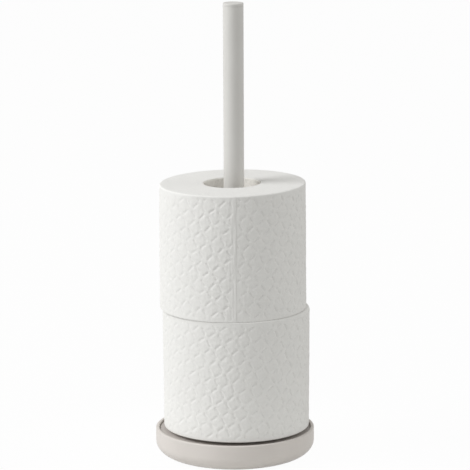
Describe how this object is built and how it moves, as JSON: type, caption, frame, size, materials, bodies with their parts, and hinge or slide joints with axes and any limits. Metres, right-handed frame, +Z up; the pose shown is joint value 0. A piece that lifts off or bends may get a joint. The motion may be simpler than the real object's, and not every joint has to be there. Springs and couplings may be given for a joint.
{
  "type": "toilet roll stand",
  "caption": "Free-standing toilet roll stand: weighted round base with a rimmed recess, an upright round pole, and stacked paper rolls that turn on it and lift off over its top.",
  "frame": {"origin": "on the ground at the middle of the round base, under the pole's axis", "axes": "+Z up along the pole, -Y towards the pictured front, +X to the picture's right"},
  "size_m": [0.125, 0.125, 0.36],
  "materials": {
    "base_shell": "matte",
    "floor_plate": "matte",
    "cap": "matte",
    "pole_coat": "matte",
    "ballast": "matte",
    "zinc_steel": "satin",
    "pad": "matte",
    "card": "matte",
    "tissue": "matte"
  },
  "bodies": {
    "stand": {"base_bowl": "base_shell", "floor_plate": "floor_plate", "ballast_ring": "ballast", "foot_pad_1": "pad", "foot_pad_2": "pad", "foot_pad_3": "pad", "foot_pad_4": "pad", "pole_foot": "zinc_steel", "pole_tube": "pole_coat", "pole_cap": "cap", "clamp_screw": "zinc_steel", "lock_washer": "zinc_steel", "flat_washer": "zinc_steel"},
    "lower_core": {"lower_roll_core": "card"},
    "lower_paper": {"lower_roll_paper": "tissue"},
    "upper_core": {"upper_roll_core": "card"},
    "upper_paper": {"upper_roll_paper": "tissue"}
  },
  "joints": [
    {"name": "lower_roll_lift", "type": "slide", "parent": "stand", "child": "lower_core", "axis": [0, 0, 1], "range_m": [0, 0.345]},
    {"name": "lower_roll_turn", "type": "hinge", "parent": "lower_core", "child": "lower_paper", "pos_m": [0.0011, 0, 0.0706], "axis": [0, 0, 1], "continuous": true},
    {"name": "upper_roll_lift", "type": "slide", "parent": "lower_core", "child": "upper_core", "axis": [0, 0, 1], "range_m": [0, 0.245]},
    {"name": "upper_roll_turn", "type": "hinge", "parent": "upper_core", "child": "upper_paper", "pos_m": [-0.0016, 0, 0.1689], "axis": [0, 0, 1], "continuous": true}
  ]
}
